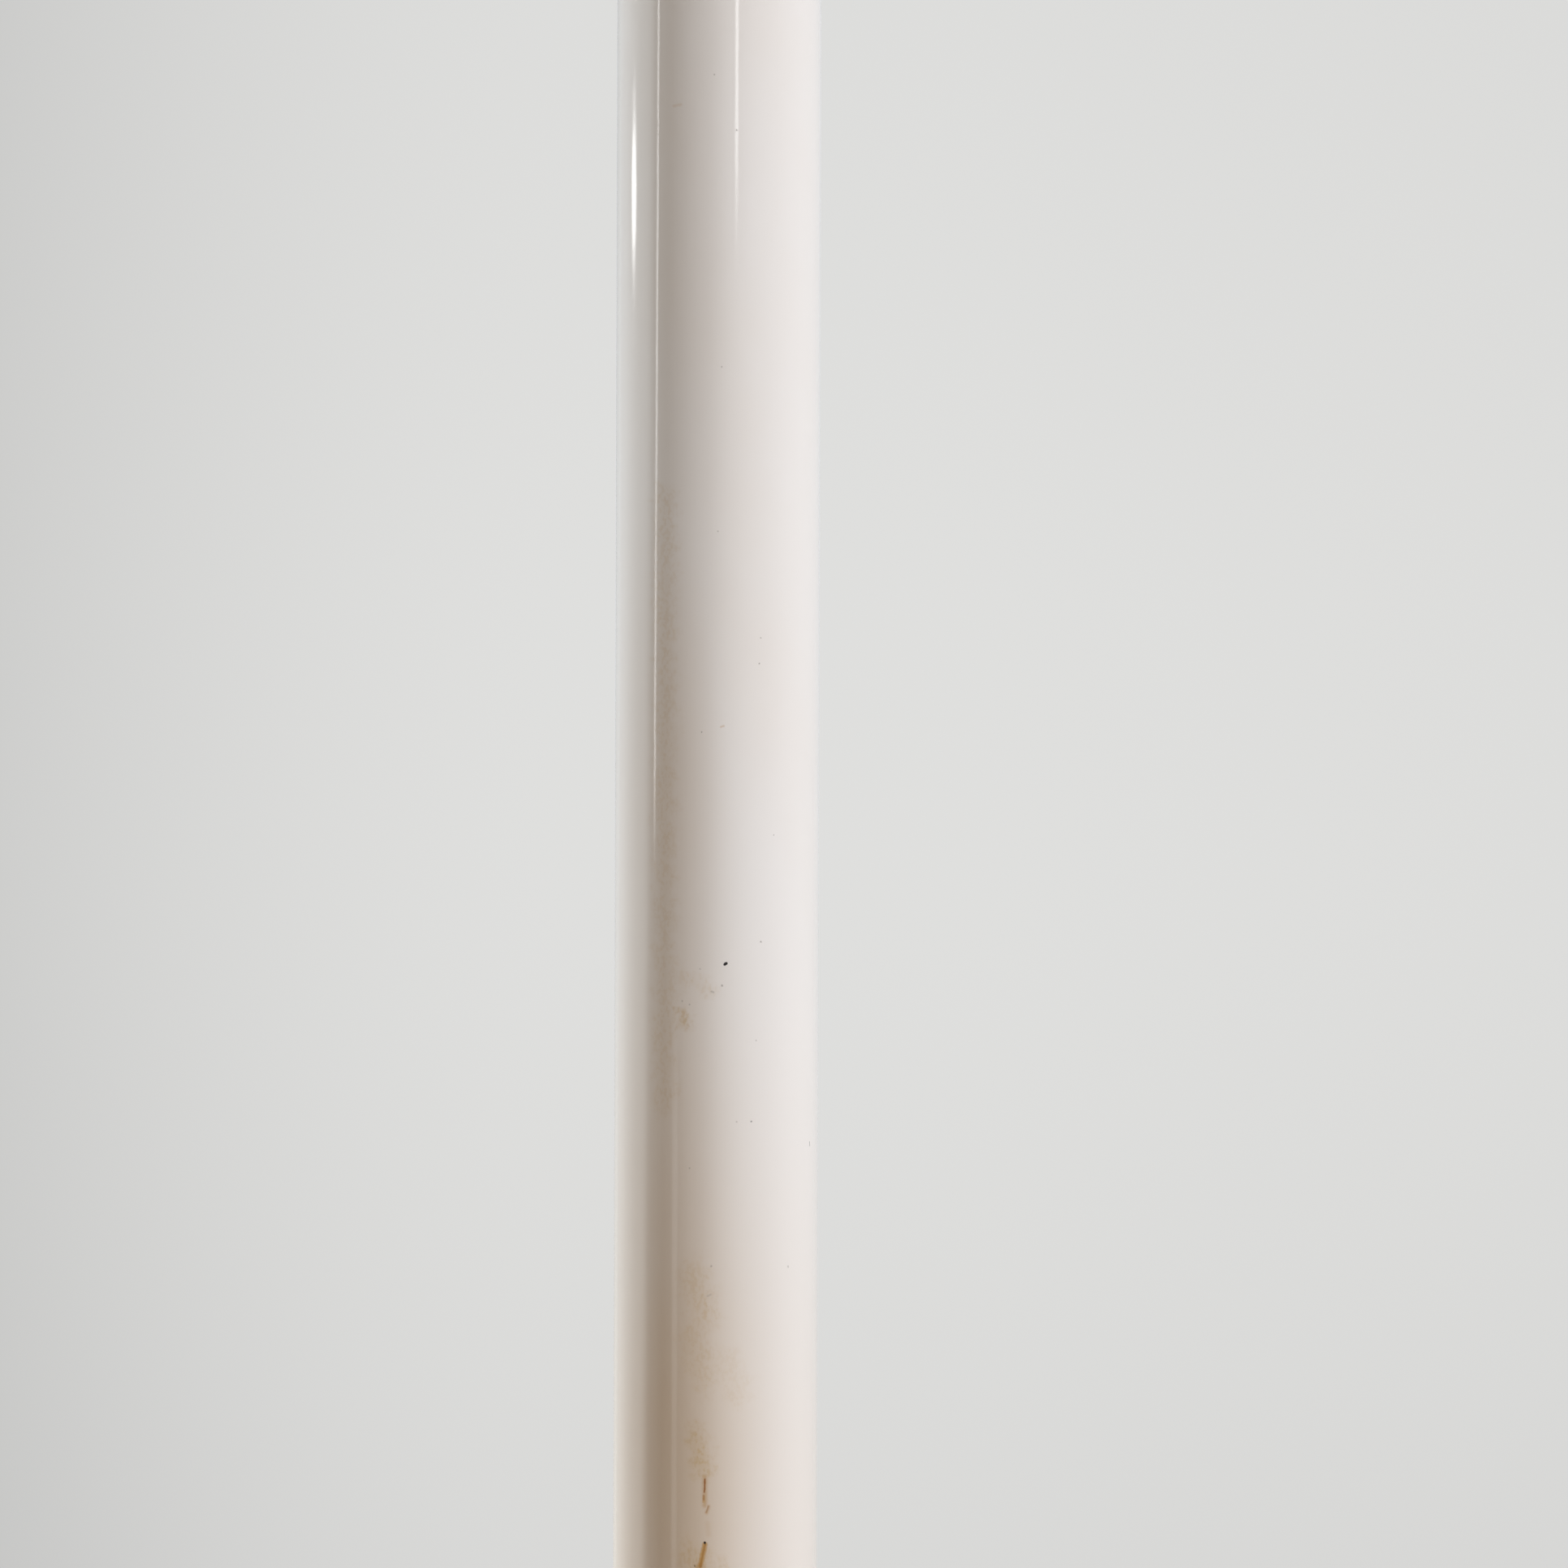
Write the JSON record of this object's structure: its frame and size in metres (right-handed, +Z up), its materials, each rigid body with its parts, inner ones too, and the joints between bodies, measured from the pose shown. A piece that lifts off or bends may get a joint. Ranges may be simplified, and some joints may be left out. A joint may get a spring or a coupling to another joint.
{
  "type": "mushroom floor lamp",
  "caption": "Floor lamp with a weighted round base and foot switch, a slim cream enamelled stem and an opal dome shade resting on a three-armed carrier.",
  "frame": {"origin": "on the floor under the stem, at the centre of the base", "axes": "+Z up along the stem, the cord inlet at the back on +Y, the foot switch at the front right"},
  "size_m": [0.4399, 0.44, 1.32],
  "materials": {
    "cream_enamel": "gloss",
    "opal_acrylic": "gloss, translucent",
    "cast_iron": "as cast, painted",
    "zinc_steel": "zinc plated",
    "spring_steel": "drawn wire",
    "nickel": "satin nickel plate",
    "turned_aluminium": "turned",
    "cap_metal": "rolled",
    "brass": "bright",
    "solder": "dull",
    "rubber_grey": "matt",
    "porcelain": "glazed",
    "black_phenolic": "moulded",
    "ivory_plastic": "moulded",
    "white_pvc": "extruded",
    "green_pvc": "extruded",
    "cap_glass": "black glass",
    "bulb_glass": "opal"
  },
  "bodies": {
    "lamp": {"rubber_feet": "rubber_grey", "base_plate": "zinc_steel", "plate_screws": "zinc_steel", "ballast": "cast_iron", "base_cover": "cream_enamel", "cord_grommet": "rubber_grey", "terminal_block": "porcelain", "block_screws": "zinc_steel", "terminal_screws": "brass", "earth_lead": "green_pvc", "earth_tag": "brass", "earth_screw": "brass", "switch_body": "black_phenolic", "switch_contact": "brass", "switch_spring": "spring_steel", "switch_ring_nut": "nickel", "switch_lead": "white_pvc", "stem_lead": "white_pvc", "base_washer": "zinc_steel", "base_nut": "zinc_steel", "threaded_pipe": "zinc_steel", "stem_foot_plug": "turned_aluminium", "stem_tube": "cream_enamel", "stem_collar": "cream_enamel", "collar_screw": "zinc_steel", "stem_top_plug": "turned_aluminium", "shade_carrier": "nickel", "carrier_bushes": "rubber_grey", "carrier_nut": "zinc_steel", "holder_cup": "black_phenolic", "holder_nut": "zinc_steel", "holder_insert": "porcelain", "holder_screw_shell": "brass", "holder_tongue": "brass", "holder_sleeve": "black_phenolic"},
    "switch_button": {"switch_button": "ivory_plastic"},
    "bulb": {"bulb_solder_contact": "solder", "bulb_insulator": "cap_glass", "bulb_cap": "cap_metal", "bulb_glass": "bulb_glass"},
    "shade": {"shade": "opal_acrylic"}
  },
  "joints": [
    {"name": "switch_press", "type": "slide", "parent": "lamp", "child": "switch_button", "axis": [0, 0, -1], "range_m": [0, 0.004], "stiffness_N_per_m": 1500, "springref_m": -0.004, "deforming": ["switch_spring"]},
    {"name": "bulb_lift", "type": "slide", "parent": "lamp", "child": "bulb", "axis": [0, 0, 1], "range_m": [0, 0.03]},
    {"name": "shade_lift", "type": "slide", "parent": "lamp", "child": "shade", "axis": [0, 0, 1], "range_m": [0, 0.2]}
  ]
}
